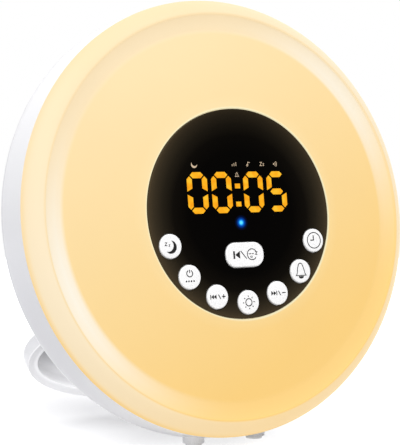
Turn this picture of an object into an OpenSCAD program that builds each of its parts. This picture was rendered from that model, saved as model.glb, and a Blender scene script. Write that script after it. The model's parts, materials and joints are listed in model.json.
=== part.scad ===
// Sunrise alarm clock: a round lamp and clock that leans back on a hinged foot.
//
// Two frames are used. In the disc frame x runs to the right, y up the face and
// z out of the face, with its origin at the centre of the seam between diffuser
// and shell. disc_frame() leans it back and stands it on the floor. The row
// frame has +Z up, the face towards -Y and its origin on the floor, under the
// middle of the clock's depth.

/* [Case] */
// Lean of the face back from upright, degrees
tilt = 8.34; // [4:0.1:14]
// Radius of the case at the seam between diffuser and shell
seam_r = 86; // [84:0.5:92]
// How much wider the side wall is at its rear edge than at the seam
wall_flare = 0.6; // [0.3:0.1:1.5]
// Depth of the straight side wall
wall_len = 16.2; // [12:0.2:20]
// Depth from the seam to the flat back
back_depth = 41.2; // [40:0.2:48]
// Radius of the flat part of the back
flat_r = 42; // [41:0.5:50]
// Slope of the shoulder where it leaves the side wall, degrees
shoulder_angle = 34; // [25:1:45]
// Wall of the back shell
shell_t = 2.2; // [1.8:0.1:2.6]
// Gap at the seam
seam_gap = 0.25; // [0.1:0.05:0.5]

/* [Diffuser] */
// How far the crest of the rim lies inside the seam
crest_in = 6.35; // [5.8:0.05:7.5]
// Height of the crest above the seam
crest_h = 7.3; // [6:0.1:9]
// Width of the valley between the crest and the dome
valley_w = 6.85; // [5.5:0.05:8]
// Height of that meeting line above the seam
valley_h = 5.6; // [5:0.1:6.4]
// How hard the rim bends at its crest and at the seam: 1 is an even curve
rim_bend = 1.35; // [1:0.05:1.5]
// Small step just inside the crest
step_drop = 0.5; // [0.2:0.05:0.9]
// Wall of the diffuser
diffuser_t = 2.2; // [1.8:0.1:2.5]
// Length of the skirt that slips into the shell
skirt_len = 5; // [3:0.5:6]

/* [Face panel] */
// Radius of the face panel
face_r = 40.6; // [40:0.1:42]
// Height of its front above the seam
face_h = 13.3; // [12.6:0.1:15]
// Thickness of the face panel
face_t = 2; // [1.6:0.1:2.4]
// Gap round the face panel
face_gap = 0.3; // [0.2:0.05:0.5]

/* [Keys] */
// Radius of a round key
key_r = 4.6; // [4.3:0.05:5.1]
// Radius of the arc that the round keys sit on
key_ring_r = 34.4; // [33.5:0.1:34.5]
// Angle between neighbouring keys
key_step = 23.35; // [21:0.05:25]
// How far a key stands out of the face
key_proud = 0.7; // [0.4:0.05:1.1]
// Travel of a key
key_travel = 0.8; // [0.4:0.05:0.9]
// Gap round a key
key_gap = 0.3; // [0.2:0.01:0.35]
// Width of the snooze key
snooze_w = 16.9; // [15:0.1:19]
// Height of the snooze key
snooze_h = 9.4; // [8.8:0.1:10.4]
// Corner radius of the snooze key
snooze_corner = 4.2; // [3:0.1:4.3]
// Place of the snooze key below the centre
snooze_drop = 16.1; // [15:0.1:17]

/* [Display] */
// Width of a digit
digit_w = 8.9; // [8:0.1:9.6]
// Height of a digit
digit_h = 15.8; // [15:0.1:17]
// Width of a segment
stroke = 2.25; // [1.9:0.05:2.7]
// Gap between two segments
segment_gap = 0.6; // [0.4:0.05:0.7]
// Spacing of the two digits in a pair
digit_pitch = 10.75; // [10.2:0.05:11.2]
// Spacing across the colon
colon_pitch = 14.35; // [13.6:0.05:15]
// Height of the digit row above the centre
digit_rise = 8.1; // [7.6:0.1:8.6]
// Sideways place of the digit row
display_shift = -0.8; // [-1.5:0.1:1.5]
// Place of the status light below the centre
led_drop = 3.7; // [3.4:0.1:4.2]
// Radius of the status light guide
led_r = 0.7; // [0.5:0.05:0.9]

/* [Lamp] */
// Number of lamp chips on the ring board
lamp_count = 24; // [12:1:36]
// Gap between the ring board and the bend of the reflector
lamp_gap = 0.95; // [0.5:0.05:1.6]
// Width of the ring board
lamp_board_w = 8.5; // [7:0.5:9]

/* [Speaker] */
// Radius of the speaker frame
speaker_r = 25; // [23:0.5:25.5]
// Height of the speaker above the centre
speaker_rise = 14; // [13:0.5:15]
// Radius of a grille hole
grille_hole_r = 0.9; // [0.6:0.05:1.1]

/* [Stand] */
// Lean of the open foot from upright, degrees
stand_angle = 32; // [29:0.5:35]
// Width of the foot
stand_w = 123.4; // [110:0.2:130]
// Length of the foot's oval
stand_len = 51; // [48:0.5:53]
// Depth of the foot's dish
stand_depth = 9; // [8:0.5:11]
// Width of the foot's rim
stand_rim = 4; // [3:0.1:5]
// Thickness of the foot's web
stand_web = 2; // [1.6:0.1:2.6]
// Rise of the hinge above the lowest edge of the side wall
hinge_rise = 54.6; // [52:0.1:57]
// Radius of the hinge pin
pin_r = 1.5; // [1.2:0.05:1.7]
// Width of the heel
heel_w = 24; // [18:1:26]

/* [Feet] */
// Sideways place of the front feet
foot_x = 14; // [12:0.5:17]
// Radius of a front foot
foot_r = 3.2; // [2.6:0.1:4]
// How far the rubber stands below the shell
foot_h = 1; // [0.6:0.1:1.6]

/* [Hidden] */

$fn = 96;
round_fn = 180;
touch = 0.05;              // gap between pieces that only touch
join = 0.4;                // depth by which united solids run into each other
through = 1;               // overrun of a cutting solid

// Radii of the case
shell_r = seam_r + wall_flare;
crest_r = seam_r - crest_in;
valley_r = crest_r - valley_w;

// Colours
cream = [0.99, 0.87, 0.62];
shell_white = [0.94, 0.94, 0.93];
key_white = [0.98, 0.98, 0.97];
panel_black = [0.05, 0.045, 0.04];
amber = [1, 0.66, 0.08];
board_green = [0.08, 0.35, 0.2];
steel = [0.7, 0.71, 0.73];
rubber_grey = [0.8, 0.8, 0.79];

// Dome of the diffuser: part of a sphere through the valley line and the panel edge
opening_r = face_r + face_gap;
panel_bevel = 0.3;
dome_edge_h = face_h - panel_bevel;
dome_c = (valley_r * valley_r - opening_r * opening_r + valley_h * valley_h - dome_edge_h * dome_edge_h)
    / (2 * (valley_h - dome_edge_h));
dome_rad = norm([valley_r, valley_h - dome_c]);
function dome_z(r) = dome_c + sqrt(dome_rad * dome_rad - r * r);

// Levels along the face normal
panel_back = face_h - face_t;
flange_t = 1;
pocket_floor = 1.5;
pocket_depth = flange_t + key_travel + 0.2;
plate_t = pocket_depth + pocket_floor;
plate_back = panel_back - plate_t;
stem_reach = 1.1;
stem_end = plate_back - stem_reach;
plunger_reach = 1;
switch_top = stem_end - plunger_reach;
switch_h = 3.2;
key_board_t = 1.6;
key_board_top = switch_top - switch_h;
key_board_back = key_board_top - key_board_t;
reflector_t = 1.5;
reflector_top = -10.5;
reflector_back = reflector_top - reflector_t;
back_inner = -back_depth + shell_t;
board_t = 1.6;
board_rise = 9.5;
board_back = back_inner + board_rise;
board_top = board_back + board_t;

// Keys: the round ones run from the left end of the arc to the right end
key_names = ["sleep", "power", "previous", "light", "next", "alarm", "clock"];
function key_angle(i) = -90 + (i - 3) * key_step;
function key_at(i) = key_ring_r * [cos(key_angle(i)), sin(key_angle(i))];
snooze_at = [0, -snooze_drop];
flange_over = 0.5;
pocket_over = flange_over + key_gap;
stem_r = 2;
stem_gap = 0.25;
key_edge = 0.45;
switch_w = 6;
plunger_r = 1.7;
plunger_gap = 0.15;
plunger_sink = 1.4;

// Control housing
housing_over = 2.6;
housing_r = face_r + housing_over;
housing_wall = 2;
housing_lip_r = face_r + 0.1;
housing_shoulder = dome_z(housing_r) - diffuser_t - 0.4;
key_post_r = 2.6;
key_post_spread = [[32, 18.5], [16.5, -17.5]];
key_posts = [for (side = [1, -1], p = key_post_spread) [side * p[0], p[1]]];
control_post_r = 3;
control_post_ring = housing_r - housing_wall - control_post_r + 0.2;
control_posts = [for (a = [90, 210, 330]) control_post_ring * [cos(a), sin(a)]];

// Screws
screw_r = 1.4;
pilot_r = screw_r + touch;
clear_r = screw_r + 0.3;
head_r = 2.8;
head_h = 1.9;

// Display
digit_u = [for (side = [-1, 1], k = side < 0 ? [1, 0] : [0, 1])
    display_shift + side * (colon_pitch / 2 + k * digit_pitch)];
shown = [0, 0, 0, 5];
mid_slant = 0.5;
display_margin = [2.5, 1.5];
display_w = colon_pitch + 2 * digit_pitch + digit_w + 2 * display_margin[0];
display_h = digit_h + 2 * display_margin[1];
colon_dot = [2.3, 1.8];
colon_gap = 7;
colon_sag = 1.1;
led_base_r = 1.5;

// Skirt, rim step and the posts that the housing screws hold
rabbet = 0.5;
skirt_r = seam_r - shell_t + rabbet - seam_gap;
skirt_t = 1.6;
step_w = 0.4;
post_in = 2.7;
post_ring_r = crest_r - post_in;
case_angles = [for (k = [0:5]) 30 + 60 * k];
case_posts = [for (a = case_angles) post_ring_r * [cos(a), sin(a)]];
case_post_r = 3.5;
boss_r = 4;
boss_top = reflector_top - 0.1;
post_end = boss_top + 0.2;
screw_grip = 11;
screw_seat = boss_top - screw_grip;
recess_r = head_r + 0.5;
rib_t = 1.4;
rib_top = reflector_back - 2;

// Lamp and reflector
reflector_hole_r = 30;
reflector_bend_r = post_ring_r - boss_r - 2.95;
reflector_r = skirt_r - skirt_t - 0.5;
reflector_rise = 8.5;
lamp_board_t = 1.6;
lamp_ring_r = reflector_bend_r - lamp_gap - lamp_board_w / 2;
lamp_size = [3.5, 2.8, 1.1];
tray_post_r = 3.2;
tray_ring_r = lamp_ring_r - lamp_board_w / 2 - tray_post_r - 1.35;
tray_posts = [for (a = [0, 90, 180, 270]) tray_ring_r * [cos(a), sin(a)]];
tray_screw = 9;

// Speaker
speaker_at = [0, speaker_rise];
grille_r = speaker_r - 1;
gasket_t = 1.5;
gasket_w = 2.8;
frame_t = 1;
frame_back = back_inner + gasket_t;
basket_h = 8;
voice_coil_r = 8;
magnet_r = 14;
magnet_h = 8;
ear_ring_r = speaker_r + 2.5;
ear_r = 3;
gasket_r = ear_ring_r - ear_r - 0.2;
ears = [for (a = [0, 90, 180, 270]) speaker_at + ear_ring_r * [cos(a), sin(a)]];

// Main board and what it carries
board_size = [80, 43];
board_mid = [0, -24.5];
board_posts = [[16, -14], [-16, -14], [35, -41], [-35, -41]];
board_post_r = 2.8;
board_screw = 6;
processor_at = [18, -28];
processor_size = [12, 12, 1.6];
driver_at = [0, -33];
driver_size = [7, 9, 1.8];
plug_strip_at = [-20, -28];
plug_strip_size = [14, 5, 6];
can_places = [[30, -26], [34, -34]];
can_r = 3.2;
can_h = 9;
small_part_size = [3.2, 1.6, 0.9];
small_part_pitch = 5;
small_parts_at = [-28, -39];
cable_w = 12;
cable_t = 0.7;
cable_sway = 5;
socket_at = [34, -12];
socket_body = 9;
socket_nose_r = 4.5;
plug_r = 2.9;
plug_depth = 9;
socket_pin_r = 1;
cell_at = [-34, -12];
cell_r = 10;
cell_t = 3.2;
holder_r = 12;
holder_h = 4.8;
cover_r = 12.5;
cover_t = 1.2;
cover_gap = 0.2;
cover_sink = 0.3;
cover_foot_w = 9;
cover_ear_at = cell_at + [0, cover_r + 1];
cover_ear_r = 3.2;
ledge_w = 1.2;
small_screw_r = 1;
small_head_r = 1.9;

// Stand: the hinge axis lies just behind the flat back
knuckle_r = 3.4;
hinge_gap = 0.6;
hinge_back = back_depth + knuckle_r + hinge_gap;
hinge_drop = shell_r - hinge_rise;
lug_in = 14;
lug_w = 4;
lug_gap = 0.3;
lug_r = 3.2;
pin_gap = 0.05;
rim_offset = 3;
knuckle_half = 22;
oval_sides = 60;

function lean(p) = [0, p[0] * sin(tilt) - p[1] * cos(tilt), p[0] * cos(tilt) + p[1] * sin(tilt)];
hinge_at = lean([-hinge_drop, -hinge_back]);
wall_low = -shell_r * cos(tilt) - wall_len * sin(tilt);
floor_z = wall_low - foot_h;
slope_down = [0, sin(stand_angle), -cos(stand_angle)];
slope_back = [0, cos(stand_angle), sin(stand_angle)];
knuckle_over = 2;
dish_edge = 3.5;
oval_top = -2.6;
oval_mid = oval_top + stand_len / 2;
oval_low = hinge_at + slope_down * (oval_top + stand_len) - slope_back * rim_offset;
heel_front = oval_low[1] - 1;
heel_len = 10;
heel_back = heel_front + heel_len;
heel_at = [0, heel_front + heel_len / 2];
heel_corner = 3.5;
heel_flare = 10;
heel_grip = 6;
pad_t = 2;
pad_grip = 1;
pad_inset = 1;

// Front feet
foot_y = -0.5;
foot_boss_r = foot_r + shell_t / 2;
foot_sink = 1.5;
foot_boss_h = 5;

// The row's origin: on the floor, under the middle of the depth
key_front = -(key_ring_r + key_r - key_edge) * sin(tilt) - (face_h + key_proud) * cos(tilt);
middle_y = (key_front + heel_back) / 2;

// ---------------------------------------------------------------- helpers

module row_frame() {
    translate([0, -middle_y, -floor_z]) children();
}

module disc_frame() {
    row_frame() rotate([90 - tilt, 0, 0]) children();
}

module foot_frame() {
    row_frame() translate(hinge_at) rotate([stand_angle - 90, 0, 0]) children();
}

// A cylinder between two levels at a place on the disc
module rod(at, low, high, r) {
    translate([at[0], at[1], low]) cylinder(r = r, h = high - low);
}

// A block between two levels, centred on a place on the disc
module slab(at, size, low, high) {
    translate([at[0] - size[0] / 2, at[1] - size[1] / 2, low]) cube([size[0], size[1], high - low]);
}

// A slab with round corners
module round_slab(at, size, corner, low, high) {
    slab(at, [size[0], size[1] - 2 * corner], low, high);
    slab(at, [size[0] - 2 * corner, size[1]], low, high);
    for (sx = [-1, 1], sy = [-1, 1])
        rod(at + [sx * (size[0] / 2 - corner), sy * (size[1] / 2 - corner)], low, high, corner);
}

// A pan-head screw: its head's seat at one level, its tip at another
module screw(at, seat, tip, r = screw_r, cap_r = head_r, cap_h = head_h) {
    out = seat > tip ? 1 : -1;
    rod(at, min(seat, tip), max(seat, tip), r);
    difference() {
        rod(at, min(seat, seat + out * cap_h), max(seat, seat + out * cap_h), cap_r);
        translate([0, 0, seat + out * cap_h])
            for (a = [0, 90])
                translate([at[0], at[1], 0]) rotate(a)
                    cube([cap_r * 1.3, cap_r * 0.3, cap_h * 0.9], center = true);
    }
}

// Points on a quadratic curve through three control points
function curve(a, b, c, n) =
    [for (i = [0:n]) let (t = i / n) (1 - t) * (1 - t) * a + 2 * t * (1 - t) * b + t * t * c];

function arc(mid, rx, ry, from, to, n) =
    [for (i = [0:n]) let (a = from + (to - from) * i / n) mid + [rx * cos(a), ry * sin(a)]];

// ---------------------------------------------------------------- diffuser

// Outer line of the diffuser, from the seam over the rim and the dome
function diffuser_outer() = concat(
    [for (i = [0:14]) let (a = 90 * i / 14) [crest_r + crest_in * pow(cos(a), rim_bend),
        seam_gap + (crest_h - seam_gap) * pow(sin(a), rim_bend)]],
    [[crest_r - step_w, crest_h], [crest_r - 1.5 * step_w, crest_h - step_drop]],
    curve([crest_r - 1.5 * step_w, crest_h - step_drop],
        [(crest_r + valley_r) / 2, valley_h - 0.1], [valley_r, valley_h], 6),
    [for (i = [1:14]) let (r = valley_r + (opening_r - valley_r) * i / 14) [r, dome_z(r)]]
);

// Inner line, one wall further in, back to the skirt
function diffuser_inner() = concat(
    [for (i = [0:10]) let (r = opening_r + (valley_r - 1 - opening_r) * i / 10) [r, dome_z(r) - diffuser_t]],
    arc([crest_r - 1, seam_gap], skirt_r - skirt_t - crest_r + 1, crest_h - diffuser_t - 1, 90, 0, 8),
    [[skirt_r - skirt_t, -skirt_len], [skirt_r, -skirt_len], [skirt_r, seam_gap]]
);

module front_diffuser() color(cream) disc_frame() {
    difference() {
        union() {
            rotate_extrude($fn = round_fn) polygon(concat(diffuser_outer(), diffuser_inner()));
            for (p = case_posts) rod(p, post_end, crest_h - diffuser_t - 0.4, case_post_r);
        }
        for (p = case_posts) rod(p, post_end - through, 1, pilot_r);
    }
}

// ---------------------------------------------------------------- face panel and display

// Segments of a digit, as [place, upright?], from the top one clockwise, then the middle one
function segment_spots() = let (x = (digit_w - stroke) / 2, y = (digit_h - stroke) / 2) [
    [[0, y], false], [[x, y / 2], true], [[x, -y / 2], true], [[0, -y], false],
    [[-x, -y / 2], true], [[-x, y / 2], true], [[0, 0], false]
];
lit_in = [
    [0, 1, 2, 3, 4, 5], [1, 2], [0, 1, 6, 4, 3], [0, 1, 6, 2, 3], [5, 6, 1, 2],
    [0, 5, 6, 2, 3], [0, 5, 6, 2, 3, 4], [0, 1, 2], [0, 1, 2, 3, 4, 5, 6], [0, 1, 2, 3, 5, 6]
];

// A level segment: both its ends are mitred to a point
module level_segment(grow) {
    half = (digit_w - stroke) / 2 + (grow - segment_gap / 2) * sqrt(2);
    w = stroke / 2 + grow;
    polygon([[half, 0], [half - w, w], [w - half, w], [-half, 0], [w - half, -w], [half - w, -w]]);
}

// An upright segment: a point at its outer end, and a slanted cut at the middle of the digit
module upright_segment(side, rise, grow) {
    run = (digit_h - stroke) / 4;
    half = run + (grow - segment_gap / 2) * sqrt(2);
    w = stroke / 2 + grow;
    low = segment_gap - run;
    cut = norm([1, mid_slant]);
    points = [
        [w, half - w], [0, half], [-w, half - w],
        [-w, low + mid_slant * stroke + (mid_slant - cut) * grow], [w, low - (mid_slant + cut) * grow]
    ];
    polygon([for (i = [0:4]) let (p = points[side * rise > 0 ? i : 4 - i]) [side * p[0], rise * p[1]]]);
}

module lit_shapes(grow) {
    spots = segment_spots();
    for (i = [0:3], s = lit_in[shown[i]])
        translate([digit_u[i], digit_rise] + spots[s][0])
            if (spots[s][1]) upright_segment(sign(spots[s][0][0]), sign(spots[s][0][1]), grow);
            else level_segment(grow);
    for (side = [-1, 1])
        translate([display_shift, digit_rise - colon_sag + side * colon_gap / 2])
            square(colon_dot + 2 * grow * [1, 1], center = true);
}

module face_panel() color(panel_black) disc_frame() {
    difference() {
        rotate_extrude($fn = round_fn) polygon([
            [0, panel_back], [face_r, panel_back], [face_r, face_h - panel_bevel],
            [face_r - panel_bevel, face_h], [0, face_h]
        ]);
        for (i = [0:6]) rod(key_at(i), panel_back - through, face_h + through, key_r + key_gap);
        round_slab(snooze_at, [snooze_w, snooze_h] + 2 * key_gap * [1, 1], snooze_corner + key_gap,
            panel_back - through, face_h + through);
        rod([display_shift / 2, -led_drop], panel_back - through, face_h + through, led_r + touch);
        translate([0, 0, panel_back - through]) linear_extrude(face_t + 2 * through) lit_shapes(touch);
    }
}

module lit_segments() color(amber) disc_frame() {
    translate([0, 0, panel_back - 0.5]) linear_extrude(face_t + 0.45) lit_shapes(0);
}

module display_case() color([0.16, 0.16, 0.16]) disc_frame() {
    difference() {
        slab([display_shift, digit_rise], [display_w, display_h], key_board_top, panel_back - touch);
        translate([0, 0, panel_back - 0.5 - touch]) linear_extrude(through) lit_shapes(touch);
    }
}

module status_light() color([0.2, 0.75, 1]) disc_frame() {
    rod([display_shift / 2, -led_drop], key_board_top, plate_back, led_base_r);
    rod([display_shift / 2, -led_drop], plate_back - join, face_h - touch, led_r);
}

// ---------------------------------------------------------------- control housing, keys and key board

module control_housing() color(shell_white) disc_frame() {
    difference() {
        union() {
            rotate_extrude($fn = round_fn) polygon([
                [0, plate_back], [housing_r - housing_wall, plate_back],
                [housing_r - housing_wall, reflector_top], [housing_r, reflector_top],
                [housing_r, housing_shoulder], [housing_lip_r, housing_shoulder],
                [housing_lip_r, panel_back], [0, panel_back]
            ]);
            for (p = key_posts) rod(p, key_board_top, plate_back + join, key_post_r);
            for (p = control_posts) rod(p, reflector_top, key_board_back - 0.2, control_post_r);
        }
        for (i = [0:6]) {
            rod(key_at(i), panel_back - pocket_depth, panel_back + through, key_r + pocket_over);
            rod(key_at(i), plate_back - through, panel_back, stem_r + stem_gap);
        }
        round_slab(snooze_at, [snooze_w, snooze_h] + 2 * pocket_over * [1, 1], snooze_corner + pocket_over,
            panel_back - pocket_depth, panel_back + through);
        rod(snooze_at, plate_back - through, panel_back, stem_r + stem_gap);
        slab([display_shift, digit_rise], [display_w, display_h] + 0.4 * [1, 1],
            plate_back - through, panel_back + through);
        rod([display_shift / 2, -led_drop], plate_back - through, panel_back + through, led_r + 0.2);
        for (p = key_posts) rod(p, key_board_top - through, plate_back + 0.5, pilot_r);
        for (p = control_posts) rod(p, reflector_top - through, key_board_back - 1.5, pilot_r);
    }
}

// A round key: cap, flange behind the panel, and stem
module round_key(i) color(key_white) disc_frame() {
    top = face_h + key_proud;
    flange_top = panel_back - touch;
    translate([key_at(i)[0], key_at(i)[1], 0]) rotate_extrude() polygon(concat(
        [[0, stem_end], [stem_r, stem_end], [stem_r, flange_top - flange_t],
            [key_r + flange_over, flange_top - flange_t], [key_r + flange_over, flange_top],
            [key_r, flange_top]],
        arc([key_r - key_edge, top - key_edge], key_edge, key_edge, 0, 90, 5),
        [[0, top]]
    ));
}

module snooze_key() color(key_white) disc_frame() {
    top = face_h + key_proud;
    flange_top = panel_back - touch;
    size = [snooze_w, snooze_h];
    round_slab(snooze_at, size, snooze_corner, flange_top - join, top - key_edge);
    round_slab(snooze_at, size - 0.5 * key_edge * [1, 1], snooze_corner - key_edge / 4,
        top - key_edge - join, top - key_edge / 2);
    round_slab(snooze_at, size - 1.6 * key_edge * [1, 1], snooze_corner - 0.8 * key_edge,
        top - key_edge, top);
    round_slab(snooze_at, size + 2 * flange_over * [1, 1], snooze_corner + flange_over,
        flange_top - flange_t, flange_top);
    rod(snooze_at, stem_end, flange_top - join, stem_r);
}

// The plunger of a key switch, which the key's stem pushes
module plunger(at) color([0.15, 0.15, 0.16]) disc_frame() {
    rod(at, switch_top - plunger_sink, stem_end, plunger_r);
}

module key_switches() color(steel) disc_frame() {
    for (at = concat([for (i = [0:6]) key_at(i)], [snooze_at]))
        difference() {
            slab(at, [switch_w, switch_w], key_board_top, switch_top);
            rod(at, switch_top - plunger_sink - 0.2 - key_travel, switch_top + through, plunger_r + plunger_gap);
        }
}

module key_board() color(board_green) disc_frame() {
    difference() {
        rod([0, 0], key_board_back, key_board_top, housing_r - housing_wall - 1);
        for (p = key_posts) rod(p, key_board_back - through, key_board_top + through, clear_r);
    }
}

module key_board_screws() color(steel) disc_frame() {
    for (p = key_posts) screw(p, key_board_back, plate_back);
}

// Flat cable from the key board back to the main board, in a gentle S
module key_cable() color([0.82, 0.82, 0.8]) disc_frame() {
    steps = 12;
    half = cable_t / 2;
    low = board_top;
    high = key_board_back;
    path = [for (i = [0:steps]) let (t = i / steps)
        [board_mid[1] + board_post_r + 1.7 + cable_sway * sin(180 * t), low + (high - low) * t]];
    translate([cable_w / 2, 0, 0]) rotate([0, -90, 0]) linear_extrude(cable_w) polygon(concat(
        [for (p = path) [p[1], p[0] - half]],
        [for (i = [steps:-1:0]) [path[i][1], path[i][0] + half]]
    ));
}

// ---------------------------------------------------------------- lamp

module light_reflector() color(key_white) disc_frame() {
    difference() {
        rotate_extrude($fn = round_fn) polygon([
            [reflector_hole_r, reflector_back], [reflector_bend_r + 0.5, reflector_back],
            [reflector_r, reflector_back + reflector_rise], [reflector_r, reflector_top + reflector_rise],
            [reflector_bend_r, reflector_top], [reflector_hole_r, reflector_top]
        ]);
        for (p = case_posts) rod(p, reflector_back - through, 0, boss_r + 0.3);
        for (p = concat(tray_posts, control_posts))
            rod(p, reflector_back - through, reflector_top + through, clear_r);
    }
}

module lamp_board() color(key_white) disc_frame() {
    difference() {
        rod([0, 0], reflector_top, reflector_top + lamp_board_t, lamp_ring_r + lamp_board_w / 2, $fn = round_fn);
        rod([0, 0], reflector_top - through, reflector_top + lamp_board_t + through,
            lamp_ring_r - lamp_board_w / 2);
    }
}

module lamp_chips() color([1, 0.93, 0.6]) disc_frame() {
    for (k = [0:lamp_count - 1])
        rotate(360 * k / lamp_count)
            translate([lamp_ring_r, 0, reflector_top + lamp_board_t + lamp_size[2] / 2])
                cube([lamp_size[1], lamp_size[0], lamp_size[2]], center = true);
}

module reflector_screws() color(steel) disc_frame() {
    for (p = tray_posts) screw(p, reflector_top, reflector_back - tray_screw);
}

module control_screws() color(steel) disc_frame() {
    for (p = control_posts) screw(p, reflector_back, reflector_top + 7);
}

// ---------------------------------------------------------------- main board, socket and backup cell

module main_board() color(board_green) disc_frame() {
    difference() {
        slab(board_mid, board_size, board_back, board_top);
        for (p = board_posts) rod(p, board_back - through, board_top + through, clear_r);
    }
}

module board_parts() color([0.12, 0.12, 0.13]) disc_frame() {
    slab(processor_at, processor_size, board_top, board_top + processor_size[2]);
    slab(driver_at, driver_size, board_top, board_top + driver_size[2]);
    slab(plug_strip_at, plug_strip_size, board_top, board_top + plug_strip_size[2]);
    for (p = can_places) rod(p, board_top, board_top + can_h, can_r);
    for (k = [0:4])
        slab(small_parts_at + [small_part_pitch * k, 0], small_part_size,
            board_top, board_top + small_part_size[2]);
}

module board_screws() color(steel) disc_frame() {
    for (p = board_posts) screw(p, board_top, board_back - board_screw);
}

module power_socket() color([0.08, 0.08, 0.08]) disc_frame() {
    mouth = -back_depth;
    difference() {
        union() {
            slab(socket_at, [socket_body, socket_body], back_inner + touch, board_back);
            rod(socket_at, mouth, board_back - join, socket_nose_r);
        }
        rod(socket_at, mouth - through, mouth + plug_depth, plug_r);
    }
    rod(socket_at, mouth + 1, mouth + plug_depth + join, socket_pin_r);
}

module cell_holder() color([0.12, 0.12, 0.13]) disc_frame() {
    difference() {
        rod(cell_at, board_back - holder_h, board_back, holder_r);
        rod(cell_at, board_back - holder_h - through, board_back - holder_h + cell_t + 0.6, cell_r + 0.2);
    }
}

module coin_cell() color(steel) disc_frame() {
    top = board_back - holder_h + cell_t + 0.6;
    rod(cell_at, top - 0.6, top, cell_r - 1.2);
    rod(cell_at, top - cell_t, top - 0.5, cell_r);
}

module cell_cover() color(shell_white) disc_frame() {
    outer = -back_depth + cover_sink;
    difference() {
        union() {
            rod(cell_at, outer, outer + cover_t, cover_r);
            rod(cover_ear_at, outer, outer + cover_t, cover_ear_r);
            slab(cell_at, cover_foot_w * [1, 1], outer + cover_t - join, outer + cover_t + 0.6);
        }
        rod(cover_ear_at, outer - through, outer + cover_t + through, small_screw_r + 0.2);
    }
}

module cell_cover_screw() color(steel) disc_frame() {
    outer = -back_depth + cover_sink;
    screw(cover_ear_at, outer, board_back - holder_h - 1.3, small_screw_r, small_head_r, cover_sink);
}

// ---------------------------------------------------------------- speaker

// Holes on rings, six more on each ring further out
function grille_holes() = [for (ring = [0:6], k = [0:max(1, 6 * ring) - 1])
    let (a = ring == 0 ? 0 : 60 * k / ring) speaker_at + 3.3 * ring * [cos(a), sin(a)]];

module speaker_grille() color(shell_white) disc_frame() {
    difference() {
        rod(speaker_at, -back_depth, back_inner, grille_r);
        for (p = grille_holes()) rod(p, -back_depth - through, back_inner + through, grille_hole_r, $fn = 24);
    }
}

module speaker_gasket() color([0.2, 0.2, 0.2]) disc_frame() {
    difference() {
        rod(speaker_at, back_inner, frame_back, gasket_r);
        rod(speaker_at, back_inner - through, frame_back + through, gasket_r - gasket_w);
    }
}

module speaker_frame() color(steel) disc_frame() {
    bowl_r = speaker_r - 3.4;
    difference() {
        union() {
            translate([speaker_at[0], speaker_at[1], frame_back]) rotate_extrude() polygon([
                [bowl_r, 0], [speaker_r, 0], [speaker_r, frame_t], [bowl_r + frame_t, frame_t],
                [bowl_r + 0.6, 3], [magnet_r + 1, basket_h], [voice_coil_r, basket_h],
                [voice_coil_r, basket_h - frame_t], [magnet_r, basket_h - frame_t], [bowl_r - 0.4, 2.6]
            ]);
            for (p = ears) rod(p, frame_back, frame_back + frame_t, ear_r);
        }
        for (p = ears) rod(p, frame_back - through, frame_back + frame_t + through, small_screw_r + 0.2);
    }
}

module speaker_cone() color([0.1, 0.1, 0.1]) disc_frame() {
    mouth_r = speaker_r - 4.6;
    skin = 0.5;
    drop = basket_h - 2.2;
    translate([speaker_at[0], speaker_at[1], frame_back]) rotate_extrude() polygon(concat(
        arc([mouth_r - 1.6, 0.2], 1.6, 1.1, 0, 180, 8),
        [[voice_coil_r, drop - skin]],
        [for (i = [0:5]) [voice_coil_r * (1 - i / 5), drop - skin - 2.4 * sin(18 * i)]],
        [[0, drop]], [[voice_coil_r, drop], [mouth_r - 3, 1.6], [mouth_r - 1.6, 1.9], [mouth_r - 0.3, 1.5]]
    ));
}

module speaker_magnet() color([0.3, 0.3, 0.31]) disc_frame() {
    low = frame_back + basket_h;
    rod(speaker_at, low, low + magnet_h - 1.5, magnet_r);
    rod(speaker_at, low + magnet_h - 1.6, low + magnet_h, magnet_r - 1.5);
}

module speaker_screws() color(steel) disc_frame() {
    for (p = ears) screw(p, frame_back + frame_t, back_inner - 0.6, small_screw_r, small_head_r, 1.3);
}

// ---------------------------------------------------------------- back shell

edge_drop = 1.5;
shoulder_start = [shell_r - 0.6, -wall_len - edge_drop];
shoulder_turn = [
    shoulder_start[0] - (back_depth + shoulder_start[1]) * tan(shoulder_angle), -back_depth
];

function shell_outer() = concat(
    [[seam_r, 0], [shell_r, -wall_len], [shell_r - 0.15, -wall_len - edge_drop / 2]],
    curve(shoulder_start, shoulder_turn, [flat_r, -back_depth], 14)
);

function shell_inner() = concat(
    curve([flat_r, back_inner], shoulder_turn + [-0.5, shell_t],
        shoulder_start - [shell_t * 0.8, -shell_t * 0.55], 12),
    [[shell_r - shell_t - 0.2, -wall_len + 1], [skirt_r + seam_gap, -wall_len + 3], [skirt_r + seam_gap, 0]]
);

module shell_bowl() {
    rotate_extrude($fn = round_fn) polygon(concat(
        shell_outer(), [[0, -back_depth], [0, back_inner]], shell_inner()
    ));
}

// The space inside the outer face of the shell, which every boss stays within
module shell_envelope() {
    rotate_extrude($fn = round_fn) polygon(concat([[0, 0]], shell_outer(), [[0, -back_depth]]));
}

// A rib that ties a screw post to the side wall
module case_rib() {
    slab([(post_ring_r + shell_r) / 2, 0], [shell_r - post_ring_r, rib_t], -back_depth, rib_top);
}

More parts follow.
